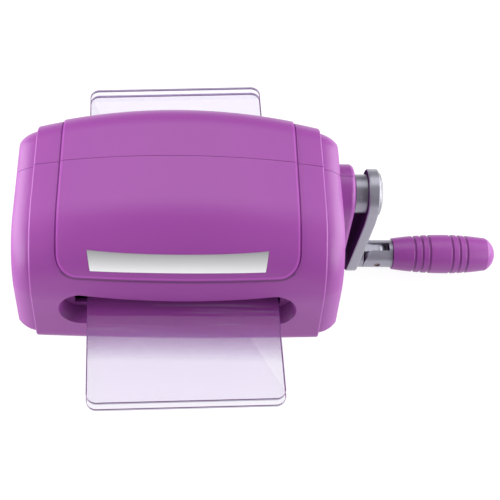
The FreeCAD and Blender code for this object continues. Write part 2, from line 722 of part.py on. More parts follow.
bush_set("upper_roller_bushes", "axis_height")
bush_set("lower_roller_bushes", LOWER_AXIS)
bush = tube_corners("0", "crank_bush_length", "shaft_radius + running_gap", "crank_bush_radius")
keep(turned("crank_bush", bush, "boss_end - crank_bush_length", "axis_height"))


def casing_screws():
    """Screws from the rear that hold the rear casing to the front one."""
    seat = value("casing_screw_seat - screw_head_high")
    screws = [screw(Vector(x, seat - value("screw_grip"), z), BACK) for x, z in casing_screw_places()]
    made("casing_screws", Part.makeCompound(screws))


casing_screws()


# Rollers, shafts and gears

# Proportions of the gear teeth, in modules, and their pressure angle in degrees
ADDENDUM = 0.85
DEDENDUM = 1.1
BACKLASH = 0.16
PRESSURE_ANGLE = 20

GEAR_INNER = "(frame_inner + frame_thickness + gear_gap)"
SHAFT_LEFT = "(frame_inner + frame_thickness + gear_gap + gear_width + shaft_stub)"
SHAFT_RIGHT = "(frame_inner + frame_thickness + bush_stand_out + clip_thickness + shaft_stub)"

ROLLER_HALF = "(frame_inner - bush_stand_out - roller_end_gap)"
roller = tube_corners("-" + ROLLER_HALF, ROLLER_HALF, "shaft_radius + seat_gap", "roller_radius")
keep(turned("upper_roller", roller, z="axis_height"))
keep(turned("lower_roller", roller, z=LOWER_AXIS))
upper = tube_corners("-" + SHAFT_LEFT, ARM_FACE, "0", "shaft_radius")
keep(turned("crank_shaft", upper, z="axis_height"))
lower = tube_corners("-" + SHAFT_LEFT, SHAFT_RIGHT, "0", "shaft_radius")
keep(turned("lower_shaft", lower, z=LOWER_AXIS))


def gear_face(turn):
    """The flat outline of a roller gear with involute flanks, turned by an angle about X."""
    teeth = int(value("gear_teeth"))
    pitch = (value("axis_height") - value(LOWER_AXIS)) / 2
    module = 2 * pitch / teeth
    base = pitch * math.cos(math.radians(PRESSURE_ANGLE))
    tip = pitch + ADDENDUM * module
    root = pitch - DEDENDUM * module
    backlash = BACKLASH * module

    def roll(radius):
        ratio = math.sqrt(max(0.0, (radius / base) ** 2 - 1))
        return ratio - math.atan(ratio)

    half_tooth = math.pi / (2 * teeth) - backlash / (2 * pitch)
    radii = [max(base, root) + (tip - max(base, root)) * step / 4 for step in range(5)]
    flank = [(root, half_tooth + roll(pitch))] + [(r, half_tooth + roll(pitch) - roll(r)) for r in radii]
    points = []
    for tooth in range(teeth):
        centre = turn + 2 * math.pi * tooth / teeth
        points += [(r, centre - a) for r, a in flank]
        points += [(r, centre + a) for r, a in reversed(flank)]
    corners = [Vector(0, r * math.cos(a), r * math.sin(a)) for r, a in points]
    return Part.Face(Part.makePolygon(corners + corners[:1]))


def roller_gear(label, height, turn):
    """A spur gear on the left end of a roller shaft."""
    width = value("gear_width")
    solid = gear_face(turn).extrude(Vector(-width, 0, 0))
    solid = solid.cut(rod(value("shaft_radius + seat_gap"), width, Vector(-width, 0, 0), RIGHT))
    made(label, solid, Vector(-value(GEAR_INNER), 0, value(height)))


TOOTH = 2 * math.pi / value("gear_teeth")
roller_gear("upper_gear", "axis_height", -math.pi / 2)
roller_gear("lower_gear", LOWER_AXIS, math.pi / 2 + TOOTH / 2)


def clip_ring(label, start, height):
    """A retaining clip on a shaft."""
    corners = tube_corners("0", "clip_thickness", "shaft_radius + seat_gap", "bush_radius")
    keep(turned(label, corners, start, height))


clip_ring("lower_shaft_clip", "%s + bush_stand_out + clip_gap" % FRAME_OUTER, LOWER_AXIS)
clip_ring("upper_shaft_clip", "%s + bush_stand_out + clip_gap" % FRAME_OUTER, "axis_height")


# Crank

collar = [("0", "shaft_radius + seat_gap"), ("collar_length", "shaft_radius + seat_gap"),
          ("collar_length", "collar_radius"), ("collar_bevel", "collar_radius"),
          ("0", "collar_radius - collar_bevel")]
keep(turned("crank_collar", collar, COLLAR_START, "axis_height"))


def crank_arm():
    """The tapered arm, with a bend that leans its lower end in towards the casing."""
    start = value(ARM_START)
    face = value(ARM_FACE)
    axis = value("axis_height")
    handle = value(HANDLE_AXIS)
    lean = value("arm_lean")
    hub = value("arm_hub")
    end = value("arm_end")
    length = value("arm_length")
    tilt = math.asin((hub - end) / length)
    sides = []
    for sign in (1, -1):
        across = sign * math.cos(tilt)
        at_hub = Vector(0, hub * across, axis - hub * math.sin(tilt))
        at_end = Vector(0, end * across, handle - end * math.sin(tilt))
        sides.append((at_hub, at_end))
    (right_hub, right_end), (left_hub, left_end) = sides
    top = Part.Arc(left_hub, Vector(0, 0, axis + hub), right_hub).toShape()
    foot = Part.Arc(right_end, Vector(0, 0, handle - end), left_end).toShape()
    lines = [Part.LineSegment(right_hub, right_end).toShape(), Part.LineSegment(left_end, left_hub).toShape()]
    face_outline = Part.Face(Part.Wire([top, lines[0], foot, lines[1]]))
    low = start - 2 * lean
    front = face_outline.extrude(Vector(face - low, 0, 0))
    front.translate(Vector(low, 0, 0))
    bend = axis - value("arm_bend")
    slope = lean / (bend - handle)
    bottom = handle - 2 * end
    drop = slope * (bend - bottom)
    top_end = axis + 2 * hub
    inside = [(start, top_end), (start, bend), (start - drop, bottom)]
    outside = [(face - drop, bottom), (face, bend), (face, top_end)]
    corners = [Vector(x, -hub, z) for x, z in inside + outside]
    bent = Part.Face(Part.makePolygon(corners + corners[:1])).extrude(Vector(0, 2 * hub, 0))
    arm = front.common(bent).removeSplitter()
    thick = value("arm_thickness")
    long_edges = [edge for edge in arm.Edges if edge.Length > 1.5 * thick and edge.BoundBox.YLength > NEAR]
    arm = arm.makeFillet(value("arm_round"), long_edges)
    shaft_hole = rod(value("shaft_radius + seat_gap"), 2 * face, Vector(0, 0, axis), RIGHT)
    lug_hole = rod(value("lug_radius + seat_gap"), face, Vector(value(LUG_START), 0, handle), RIGHT)
    made("crank_arm", arm.cut([shaft_hole, lug_hole]))


crank_arm()
hub_cap = [("0", "0"), ("0", "hub_cap_radius"), ("hub_cap_high * 0.35", "hub_cap_radius * 0.97"),
           ("hub_cap_high * 0.75", "hub_cap_radius * 0.75"), ("hub_cap_high * 0.95", "hub_cap_radius * 0.4"),
           ("hub_cap_high", "0")]
keep(turned("hub_cap", hub_cap, ARM_FACE, "axis_height"))


def handle_lug():
    """The round lug set in the arm's end, with the tongue that the handle folds on."""
    start = value(LUG_START)
    face = value(LUG_FACE)
    handle = value(HANDLE_AXIS)
    pin = Vector(value(PIN_PLACE), 0, handle)
    half = value("tongue_thickness") / 2
    radius = value("tongue_radius")
    stub = rod(value("lug_radius"), face - start, Vector(start, 0, handle), RIGHT)
    tongue = block(Vector(start, -half, handle - radius), Vector(pin.x, half, handle + radius))
    nose = rod(radius, 2 * half, pin - BACK * half, BACK)
    hole = rod(value("pin_radius + running_gap"), 4 * half, pin - BACK * 2 * half, BACK)
    made("handle_lug", stub.fuse([tongue, nose]).removeSplitter().cut(hole))


handle_lug()


# Folding handle

def handle_fork():
    """The round fork on the tongue, rounded above so that it can fold up."""
    start = value(FORK_START)
    end = value(FORK_END)
    handle = value(HANDLE_AXIS)
    radius = value("lug_radius")
    pin = Vector(value(PIN_PLACE), 0, handle)
    solid = rod(radius, end - start, Vector(start, 0, handle), RIGHT)
    half = value("tongue_thickness / 2 + fold_gap")
    low = Vector(start - radius, -half, handle - 2 * radius)
    high = Vector(start + value("fork_window"), half, handle + 2 * radius)
    solid = solid.cut(block(low, high))
    low = Vector(start - radius, -2 * radius, handle)
    corner = block(low, Vector(pin.x, 2 * radius, handle + 2 * radius))
    swing = rod(pin.x - start, 4 * radius, pin - BACK * 2 * radius, BACK)
    solid = solid.cut(corner.cut(swing))
    solid = solid.cut(rod(value("pin_radius + seat_gap"), 4 * radius, pin - BACK * 2 * radius, BACK))
    deep = value("fork_length - fork_window")
    solid = solid.cut(rod(value("spindle_radius + seat_gap"), deep, Vector(end - deep, 0, handle), RIGHT))
    made("handle_fork", solid)


handle_fork()


def fold_pin():
    """The pin that the handle folds on, across the fork."""
    half = value("lug_radius - pin_inset")
    pin = Vector(value(PIN_PLACE), -half, value(HANDLE_AXIS))
    made("fold_pin", rod(value("pin_radius"), 2 * half, pin, BACK))


fold_pin()
spindle = tube_corners("-(fork_length - fork_window) - grip_gap", "spindle_length", "0", "spindle_radius")
keep(turned("grip_spindle", spindle, GRIP_START, HANDLE_AXIS))
clip = tube_corners("0", "clip_thickness", "spindle_radius + seat_gap", "clip_radius")
keep(turned("spindle_clip", clip, "%s + spindle_length - 2 * clip_thickness" % GRIP_START, HANDLE_AXIS))


def grip_radius(along):
    """The grip's radius at a distance from its start, without the grooves."""
    middle = value("grip_length") / 2
    shoulder = value("grip_length - grip_dome")
    belly = value("grip_middle")
    if along < middle:
        return belly - (belly - value("grip_start")) * ((middle - along) / middle) ** 2
    return belly - (belly - value("grip_finish")) * ((along - middle) / (shoulder - middle)) ** 2


def grip_arc(first, second, dip=0):
    """A stretch of the grip's profile, dipped at its middle for a groove."""
    middle = (first + second) / 2
    points = [(first, 0), (middle, dip), (second, 0)]
    return Part.Arc(*[Vector(along, 0, grip_radius(along) - sunk) for along, sunk in points]).toShape()


def grip():
    """The turned grip, swelling towards the middle, with two sets of three grooves and a domed end."""
    length = value("grip_length")
    finish = value("grip_finish")
    shoulder = value("grip_length - grip_dome")
    depth = value("rib_depth")
    reach = value("rib_reach")
    profile = []
    along = 0
    for first in (value("rib_first"), value("rib_second")):
        for number in range(3):
            groove = first + number * value("rib_pitch")
            profile.append(grip_arc(along, groove - reach))
            profile.append(grip_arc(groove - reach, groove + reach, depth))
            along = groove + reach
    profile.append(grip_arc(along, shoulder))
    centre = (length ** 2 - shoulder ** 2 - finish ** 2) / (2 * (length - shoulder))
    dome = length - centre
    half_angle = math.asin(finish / dome) / 2
    over = Vector(centre + dome * math.cos(half_angle), 0, dome * math.sin(half_angle))
    profile.append(Part.Arc(Vector(shoulder, 0, finish), over, Vector(length, 0, 0)).toShape())
    bore = value("spindle_radius + running_gap")
    room = value("spindle_length - 3 * clip_thickness")
    deep = value("spindle_length + spindle_room")
    wide = value("clip_radius + fold_gap")
    inner = [(length, 0), (deep, 0), (deep, wide), (room, wide), (room, bore), (0, bore)]
    inner.append((0, value("grip_start")))
    corners = [Vector(place_along, 0, radius) for place_along, radius in inner]
    profile += [Part.LineSegment(one, two).toShape() for one, two in zip(corners, corners[1:])]
    solid = Part.Face(Part.Wire(profile)).revolve(Vector(), RIGHT, 360)
    made("grip", solid, Vector(value(GRIP_START), 0, value(HANDLE_AXIS)))


grip()


# Clear plates

def clear_plate(label, top, lead):
    """A clear plate with rounded corners, lying askew in the slot."""
    half = value("plate_width") / 2
    reach = value("plate_length") / 2
    thick = value("plate_thickness")
    solid = block(Vector(-half, -reach - lead, top - thick), Vector(half, reach - lead, top))
    upright = [edge for edge in solid.Edges if edge.BoundBox.ZLength > thick / 2]
    solid = solid.makeFillet(value("plate_corner"), upright)
    rims = [edge for edge in solid.Edges if edge.BoundBox.ZLength < NEAR]
    solid = solid.makeChamfer(value("plate_bevel"), rims)
    middle = Vector(value("plate_shift_side"), -value("plate_shift_front"), 0)
    made(label, solid, middle, value("plate_skew"))


clear_plate("cutting_plate", value(PLATE_TOP), 0)
clear_plate("base_platform", value(PLATE_TOP) - value("plate_thickness"), value("plate_lead"))

# Check every object and write each piece
doc.recompute()
for thing in doc.Objects:
    if "Invalid" in thing.State or "Error" in thing.State:
        raise RuntimeError(thing.Label + " did not build")
for piece in PARTS:
    if piece.Shape.isNull() or not piece.Shape.isValid():
        raise RuntimeError(piece.Label + " has no valid shape")
os.makedirs("parts", exist_ok=True)
for piece in PARTS:
    piece.Shape.exportStep("parts/%s.step" % piece.Label)
    box = piece.Shape.BoundBox
    print(piece.Label, len(piece.Shape.Solids), "solids", round(piece.Shape.Volume), "mm3", box)
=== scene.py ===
"""Looks of a hand-cranked die cutting machine, dressed over its packed solids."""

import math

import bmesh
import bpy
from mathutils import Matrix, Vector


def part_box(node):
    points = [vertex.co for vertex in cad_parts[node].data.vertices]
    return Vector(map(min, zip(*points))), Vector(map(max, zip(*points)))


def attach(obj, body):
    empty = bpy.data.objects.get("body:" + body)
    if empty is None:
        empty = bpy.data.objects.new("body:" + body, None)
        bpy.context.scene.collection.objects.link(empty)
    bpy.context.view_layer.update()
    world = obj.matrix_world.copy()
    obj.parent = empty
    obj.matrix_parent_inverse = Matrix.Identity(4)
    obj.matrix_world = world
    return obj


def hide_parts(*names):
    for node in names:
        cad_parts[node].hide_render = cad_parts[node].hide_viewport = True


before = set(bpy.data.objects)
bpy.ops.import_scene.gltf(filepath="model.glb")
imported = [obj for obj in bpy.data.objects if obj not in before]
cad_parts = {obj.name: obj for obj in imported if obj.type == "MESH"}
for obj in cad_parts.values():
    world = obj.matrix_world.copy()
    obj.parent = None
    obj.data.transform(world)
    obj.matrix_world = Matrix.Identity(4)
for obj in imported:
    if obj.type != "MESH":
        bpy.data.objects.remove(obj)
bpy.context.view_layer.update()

bl_info = {
    "name": "Die cutting machine",
    "version": (1, 0, 0),
    "blender": (4, 5, 0),
    "location": "3D View > Sidebar > Die cutter",
    "description": "Dresses the packed solids of a hand-cranked die cutting machine",
    "category": "Object",
}

PHOTO_SIDE = 500
MACHINE_MIDDLE = (0.0, 0.0, 0.1)


# Shader maths written as sums

class Amount:
    """A socket of a node tree that takes part in sums."""

    def __init__(self, maker, socket):
        self.maker = maker
        self.socket = socket

    def maths(self, operation, *others):
        values = dict(enumerate((self,) + others))
        return self.maker.node("ShaderNodeMath", {"operation": operation}, values)

    def __add__(self, other):
        return self.maths("ADD", other)

    def __mul__(self, other):
        return self.maths("MULTIPLY", other)

    def __sub__(self, other):
        return self.maths("SUBTRACT", other)

    def __rsub__(self, other):
        return (self * -1) + other

    def __abs__(self):
        return self.maths("ABSOLUTE")

    def above(self, edge, width):
        """0 below the edge, 1 above it, rising over the width."""
        span = {"From Min": edge - width / 2, "From Max": edge + width / 2}
        return self.maker.node("ShaderNodeMapRange", {"clamp": True}, {"Value": self, **span})

    def between(self, low, high):
        """The amount, from 0 to 1, spread from low to high."""
        return self * (high - low) + low


class Maker:
    """A node tree in the making."""

    def __init__(self, tree):
        self.tree = tree

    def node(self, kind, settings=None, inputs=None, output=0):
        """Adds a node, sets it up, fills or links its inputs and gives one of its outputs."""
        made = self.tree.nodes.new(kind)
        for name, setting in (settings or {}).items():
            setattr(made, name, setting)
        for name, given in (inputs or {}).items():
            self.fill(made.inputs[name], given)
        return Amount(self, made.outputs[output])

    def fill(self, socket, given):
        """Links one amount or several to a socket, or writes a plain value on it."""
        if isinstance(given, Amount):
            self.tree.links.new(given.socket, socket)
        elif isinstance(given, list):
            for each in given:
                self.tree.links.new(each.socket, socket)
        else:
            socket.default_value = given


class Finish(Maker):
    """A material in the making, on the coordinates of the object that carries it."""

    def __init__(self, name):
        self.material = bpy.data.materials.new(name)
        self.material.use_nodes = True
        super().__init__(self.material.node_tree)
        self.shader = self.tree.nodes["Principled BSDF"]
        self.place = self.node("ShaderNodeTexCoord", output="Object")

    def set(self, **inputs):
        """Fills the shader's sockets, named with underscores for spaces."""
        for name, given in inputs.items():
            self.fill(self.shader.inputs[name.replace("_", " ")], given)

    def stretched(self, scale):
        """The object's coordinates, stretched along each axis."""
        return self.node("ShaderNodeMapping", None, {"Vector": self.place, "Scale": scale}, "Vector")

    def noise(self, scale, detail=2.0, stretch=None, roughness=0.5):
        """Soft random patches, with the scale in patches to a metre."""
        where = self.stretched(stretch) if stretch else self.place
        inputs = {"Vector": where, "Scale": scale, "Detail": detail, "Roughness": roughness}
        return self.node("ShaderNodeTexNoise", None, inputs, "Fac")

    def grains(self, scale):
        """Random cells, as in sintered or cast metal."""
        return self.node("ShaderNodeTexVoronoi", None, {"Vector": self.place, "Scale": scale}, "Distance")

    def along(self, axis):
        """One of the object's coordinates, in metres."""
        return self.node("ShaderNodeSeparateXYZ", None, {0: self.place}, axis)

    def mixed(self, amount, first, second):
        """A colour between two others."""
        settings = {"data_type": "RGBA"}
        return self.node("ShaderNodeMix", settings, {"Factor": amount, 6: first, 7: second}, 2)

    def facing(self, axis):
        """How much the surface faces along an axis, from -1 to 1."""
        normal = self.node("ShaderNodeNewGeometry", output="Normal")
        return self.node("ShaderNodeSeparateXYZ", None, {0: normal}, axis)

    def bump(self, height, strength, distance):
        """A relief for the shader's normal, with its depth in metres."""
        inputs = {"Height": height, "Strength": strength, "Distance": distance}
        self.set(Normal=self.node("ShaderNodeBump", None, inputs, "Normal"))


# Shapes set at four corners

class Repeat(Maker):
    """A Geometry Nodes tree that sets one shape at the corners of a rectangle, with named sizes."""

    def __init__(self, name, sizes):
        super().__init__(bpy.data.node_groups.new(name, "GeometryNodeTree"))
        self.sizes = sizes
        sockets = self.tree.interface
        sockets.new_socket("Geometry", in_out="INPUT", socket_type="NodeSocketGeometry")
        for size in sizes:
            sockets.new_socket(size, in_out="INPUT", socket_type="NodeSocketFloat")
        sockets.new_socket("Geometry", in_out="OUTPUT", socket_type="NodeSocketGeometry")
        group = self.tree.nodes.new("NodeGroupInput")
        self.unit = Amount(self, group.outputs[0])
        self.size = {size: Amount(self, group.outputs[size]) for size in sizes}

    def cross_cut(self, shape):
        """Sinks a cross recess into the top of a shape."""
        top = self.node("ShaderNodeCombineXYZ", None, {"Z": self.size["Head top"]})
        bars = []
        for long_side, short_side in (("X", "Y"), ("Y", "X")):
            sides = {long_side: self.size["Recess length"], short_side: self.size["Recess width"]}
            size = self.node("ShaderNodeCombineXYZ", None, {**sides, "Z": self.size["Recess depth"] * 2})
            bar = self.node("GeometryNodeMeshCube", None, {"Size": size})
            bars.append(self.node("GeometryNodeTransform", None, {"Geometry": bar, "Translation": top}))
        inputs = {"Mesh 1": shape, "Mesh 2": bars}
        return self.node("GeometryNodeMeshBoolean", {"operation": "DIFFERENCE"}, inputs)

    def corners(self, shape, middle, lean):
        """Sets a shape at four corners about a middle, all leaning by one angle about X."""
        spread = {"Size X": self.size["Spread across"], "Size Y": self.size["Spread along"]}
        grid = self.node("GeometryNodeMeshGrid", None, {**spread, "Vertices X": 2, "Vertices Y": 2})
        tilt = {"Translation": middle, "Rotation": (-lean, 0.0, 0.0)}
        points = self.node("GeometryNodeTransform", None, {"Geometry": grid, **tilt})
        inputs = {"Points": points, "Instance": shape, "Rotation": (lean, 0.0, 0.0)}
        return self.node("GeometryNodeInstanceOnPoints", None, inputs)

    def grow(self, shape, unit, material, name):
        """Runs the tree on a unit mesh and keeps the result as a plain mesh object."""
        real = self.node("GeometryNodeRealizeInstances", None, {"Geometry": shape})
        painted = self.node("GeometryNodeSetMaterial", None, {"Geometry": real, "Material": material})
        self.fill(self.tree.nodes.new("NodeGroupOutput").inputs[0], painted)
        piece = bpy.data.objects.new(name, unit)
        bpy.context.scene.collection.objects.link(piece)
        modifier = piece.modifiers.new("repeat", "NODES")
        modifier.node_group = self.tree
        for socket in self.tree.interface.items_tree:
            if socket.in_out == "INPUT" and socket.name in self.sizes:
                modifier[socket.identifier] = self.sizes[socket.name]
        grown = piece.evaluated_get(bpy.context.evaluated_depsgraph_get())
        mesh = bpy.data.meshes.new_from_object(grown)
        piece.modifiers.remove(modifier)
        piece.data = mesh
        return piece


def turned_unit(name, profile, sides):
    """A closed mesh turned about Z from (radius, height) points that run from axis to axis."""
    shape = bmesh.new()
    rings = []
    for radius, height in profile:
        count = sides if radius > 0 else 1
        turns = [2 * math.pi * step / count for step in range(count)]
        rings.append([shape.verts.new((radius * math.cos(a), radius * math.sin(a), height)) for a in turns])
    for lower, upper in zip(rings, rings[1:]):
        for step in range(sides):
            after = step + 1
            around = [lower[step % len(lower)], lower[after % len(lower)]]
            around += [upper[after % len(upper)], upper[step % len(upper)]]
            shape.faces.new(list(dict.fromkeys(around)))
    bmesh.ops.recalc_face_normals(shape, faces=shape.faces)
    mesh = bpy.data.meshes.new(name)
    shape.to_mesh(mesh)
    shape.free()
    return mesh


def set_piece(piece, node, body):
    """Lets a piece stand for a CAD node on its body, with the node's material slot."""
    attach(piece, body)
    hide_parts(node)


# Finishes of the machine's pieces

def full_colour(colour):
    """A colour with its alpha."""
    return (colour[0], colour[1], colour[2], 1.0)


def shaded(colour, share):
    """A colour made darker or lighter by a share."""
    return full_colour([min(1.0, part * share) for part in colour])


def paint_panel_light_and_shadow(finish, look, surface):
    """Draws the raised panel's light rim, its sunk line and the shade under its lower edge on a surface."""
    across = finish.along("X")
    share = across * (1 / look.panel_half)
    bow = (1 - share * share) * look.panel_sag
    aside = abs(across) - (look.panel_half - look.panel_corner)
    under = look.panel_low + look.panel_corner - (finish.along("Z") + bow)
    right = aside.maths("MAXIMUM", 0.0)
    down = under.maths("MAXIMUM", 0.0)
    within = aside.maths("MAXIMUM", under).maths("MINIMUM", 0.0)
    outside = (right * right + down * down).maths("SQRT") + within - look.panel_corner
    # Painted highlight along the panel's rim.
    rim = 1 - abs(outside + look.line_width / 2).above(look.line_width / 2, look.line_width / 2)
    # Painted light: the groove line beside the rim is made lighter.
    groove_light = 1 - abs(outside - look.line_width / 2).above(look.line_width / 2, look.line_width / 4)
    # Painted shadow under the panel's lower edge, on the front only.
    shade = 1 - abs(outside - look.shade_drop).above(look.line_width / 2, look.line_width)
    shade = shade * (under - aside).above(0.0, look.panel_corner / 4)
    shade = shade * (finish.along("Y") * -1).above(look.panel_half / 2, look.panel_half / 4)
    lit = finish.mixed(rim * look.rim_light, surface, shaded(look.casing, 2.0))
    lined = finish.mixed(groove_light, lit, shaded(look.casing, 1.5))
    return finish.mixed(shade * look.shade_dark, lined, shaded(look.casing, 0.3))


def moulded_plastic(name, colour, roughness, grain_depth, panel_light_look=None):
    """Satin plastic with a fine eroded grain, faint flow clouds, a few hair scuffs and perhaps a panel."""
    finish = Finish(name)
    clouds = finish.noise(14, 3)
    grain = finish.noise(2600, 2)
    scuffs = finish.noise(90, 6, (1.0, 9.0, 9.0), 0.62).above(0.66, 0.05)
    tint = finish.mixed(clouds, shaded(colour, 0.95), shaded(colour, 1.05))
    surface = finish.mixed(scuffs * 0.22, tint, shaded(colour, 1.25))
    # The casing gets painted light and shadow round its panel.
    if panel_light_look:
        surface = paint_panel_light_and_shadow(finish, panel_light_look, surface)
    finish.set(Base_Color=surface)
    finish.set(Roughness=clouds.between(roughness - 0.04, roughness + 0.04) + scuffs * 0.06)
    finish.set(IOR=1.49)
    finish.bump(grain, 0.35, grain_depth)
    return finish.material


def label_film(name, colour, grey):
    """Blank satin film, greyer towards its upper edge."""
    finish = Finish(name)
    low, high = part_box("label_plate")
    rise = finish.along("Z").above((low[2] + high[2]) / 2, high[2] - low[2])
    grain = finish.noise(1800, 2)
    shade = finish.mixed(rise, full_colour(colour), full_colour(grey))
    finish.set(Base_Color=finish.mixed(grain * 0.06, shade, full_colour(grey)))
    finish.set(Roughness=grain.between(0.32, 0.4))
    finish.bump(grain, 0.1, 0.00005)
    return finish.material


def enamelled_metal(name, colour, painted_back_shade, metallic):
    """Satin grey enamel with metal flake, orange peel and rubbed patches, bare primer on its back."""
    finish = Finish(name)
    flake = finish.grains(2400)
    peel = finish.noise(700, 2)
    rubbed = finish.noise(120, 5, None, 0.6).above(0.64, 0.08)
    # Faces turned to -X: painted shade instead of enamel.
    back = (finish.facing("X") * -1).above(0.8, 0.2)
    tint = finish.mixed(flake, shaded(colour, 1.12), shaded(colour, 0.9))
    enamel = finish.mixed(rubbed * 0.3, tint, shaded(colour, 1.4))
    finish.set(Base_Color=finish.mixed(back, enamel, full_colour(painted_back_shade)))
    finish.set(Roughness=peel.between(0.28, 0.38) + rubbed * 0.08 + back * 0.5)
    finish.set(Metallic=(1 - back) * metallic)
    finish.set(Specular_IOR_Level=(1 - back) * 0.5)
    finish.bump(peel, 0.12, 0.0001)
    return finish.material


def drawn_steel(name, colour, stretch, roughness):
    """Bare steel with fine lines along its drawing or turning."""
    finish = Finish(name)
    lines = finish.noise(40, 4, stretch, 0.6)
    stains = finish.noise(60, 4)
    finish.set(Base_Color=finish.mixed(stains, shaded(colour, 0.86), shaded(colour, 1.1)))
    finish.set(Roughness=lines.between(roughness - 0.08, roughness + 0.12))
    finish.set(Metallic=1.0)
    finish.bump(lines, 0.18, 0.00006)
    return finish.material


def sintered_metal(name, colour, roughness):
    """Pressed metal powder: dull, with open grains."""
    finish = Finish(name)
    cells = finish.grains(1500)
    oil = finish.noise(80, 4)
    tint = finish.mixed(cells, shaded(colour, 1.12), shaded(colour, 0.72))
    finish.set(Base_Color=finish.mixed(oil.above(0.58, 0.12) * 0.4, tint, shaded(colour, 0.55)))
    finish.set(Roughness=oil.between(roughness - 0.1, roughness + 0.1))
    finish.set(Metallic=0.9)
    finish.bump(cells, 0.25, 0.0001)
    return finish.material


def foot_rubber(name, colour):
    """Black rubber with dust in its pores."""
    finish = Finish(name)
    pores = finish.noise(1300, 3)
    dust = finish.noise(160, 4).above(0.6, 0.15)
    finish.set(Base_Color=finish.mixed(dust * 0.4, full_colour(colour), shaded(colour, 3.0)))
    finish.set(Roughness=pores.between(0.7, 0.88))
    finish.bump(pores, 0.3, 0.00012)
    return finish.material


def clear_acrylic(name, look):
    """Clear plate with a smoky tint, a hazy zone worn by cutting, dark rims and pale cut sides."""
    finish = Finish(name)
    clouds = finish.noise(11, 3)
    # A band across the plate's middle, fading out at both ends along Y: painted shadow, with the fine
    # scratches inside it.
    scratch_shadow = 1 - abs(finish.along("Y") - look.scratch_shadow_middle).above(look.scratch_shadow_reach, look.scratch_shadow_fade)
    scratch_shadow = scratch_shadow * clouds.between(0.85, 1.15)
    scratches = finish.noise(30, 1, (0.4, 14.0, 1.0)).above(0.66, 0.08) * scratch_shadow * 0.3
    upright = abs(finish.facing("Z"))
    side = 1 - upright.above(0.35, 0.1)
    rim = (1 - upright.above(0.9, 0.1)) - side
    smoke = finish.mixed(clouds, full_colour(look.tint), shaded(look.tint, 0.94))
    # Painted shadow colour in the band.
    shade = finish.mixed(scratch_shadow, smoke, full_colour(look.shade))
    scratched = finish.mixed(scratches, shade, full_colour(look.side))
    edged = finish.mixed(side, scratched, full_colour(look.side))
    finish.set(Base_Color=finish.mixed(rim, edged, full_colour(look.rim)))
    # The band's painted shadow covers more of what lies behind.
    faces = scratch_shadow * look.shadow_cover + look.body
    finish.set(Alpha=faces + side * look.side_cover + rim * look.rim_cover)
    finish.set(Roughness=scratches.between(0.05, 0.3))
    finish.set(IOR=1.49)
    return finish.material


def dress(material, *names):
    """Puts a material on CAD nodes that keep their own shape."""
    for name in names:
        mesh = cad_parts[name].data
        mesh.materials.clear()
        mesh.materials.append(material)


# Settings that a user would change

def colour_setting(name, description, default):
    """A colour with its name, description and default."""
    return bpy.props.FloatVectorProperty(
        name=name, description=description, default=default, subtype="COLOR", size=3, min=0.0, max=1.0
    )


def share_setting(name, description, default):
    """A share from 0 to 1 with its name, description and default."""
    return bpy.props.FloatProperty(
        name=name, description=description, default=default, subtype="FACTOR", min=0.0, max=1.0
    )


def length_setting(name, description, default):
    """A length in metres with its name, description and default."""
    return bpy.props.FloatProperty(name=name, description=description, default=default, unit="LENGTH")


def angle_setting(name, description, degrees):
    """An angle with its name, description and default in degrees."""
    return bpy.props.FloatProperty(
        name=name, description=description, default=math.radians(degrees), subtype="ANGLE"
    )


class CasingLook(bpy.types.PropertyGroup):
    """Colours of the purple plastic, and the lines round the panel."""

    casing: colour_setting("Casing", "Colour of the two casing halves", (0.258, 0.049, 0.276))
    grip: colour_setting("Grip", "Colour of the turning grip", (0.245, 0.044, 0.26))
    base: colour_setting("Base", "Colour of the base plate", (0.20, 0.05, 0.22))
    roughness: share_setting("Roughness", "Mean roughness of the plastic", 0.38)
    grain: length_setting("Grain", "Depth of the moulded grain", 0.00004)
    # Outline of the panel, which places its painted light and shadow.
    panel_half: length_setting("Panel half", "Half the width of the raised panel", 0.094)
    panel_low: length_setting("Panel low", "Height of the panel's lower edge at its ends", 0.1242)
    panel_sag: length_setting("Panel sag", "How far the panel's lower edge bows down", 0.003)
    panel_corner: length_setting("Panel corner", "Corner radius of the raised panel", 0.016)
    # Sizes and strengths of the painted highlight on the rim, the painted light in the groove line and the
    # painted shadow under the lower edge.
    line_width: length_setting("Line width", "Width of the lines round the panel", 0.0014)
    shade_drop: length_setting("Shade drop", "Panel's lower edge to the shade under it", 0.0028)
    shade_dark: share_setting("Shade depth", "How dark the shade under the panel is", 0.85)
    rim_light: share_setting("Rim light", "How much lighter the panel's rim is", 0.38)


class LabelLook(bpy.types.PropertyGroup):
    """Colours of the blank label plate."""

    film: colour_setting("Film", "Colour of the film's lower edge", (0.86, 0.86, 0.87))
    grey: colour_setting("Upper grey", "Colour of the film's upper edge", (0.29, 0.29, 0.305))


class MetalLook(bpy.types.PropertyGroup):
    """Colours of the crank and of the works inside."""

    enamel: colour_setting("Enamel", "Grey of the crank and the fork", (0.31, 0.305, 0.36))
    # Dark purple painted shade on the faces of the crank and hub cap turned to -X.
    painted_back_shade: colour_setting("Back shade", "Dark primer on the crank's back", (0.075, 0.03, 0.095))
    hub: colour_setting("Hub", "Silver of the hub cap", (0.30, 0.30, 0.33))
    steel: colour_setting("Steel", "Colour of bare steel", (0.60, 0.60, 0.62))
    zinc: colour_setting("Zinc", "Colour of plated screws and frames", (0.48, 0.49, 0.51))
    bronze: colour_setting("Bronze", "Colour of the bushes", (0.48, 0.30, 0.16))
    pin: colour_setting("Pin", "Colour of the fold pin", (0.30, 0.22, 0.20))
    iron: colour_setting("Iron", "Colour of the sintered gears", (0.26, 0.26, 0.27))


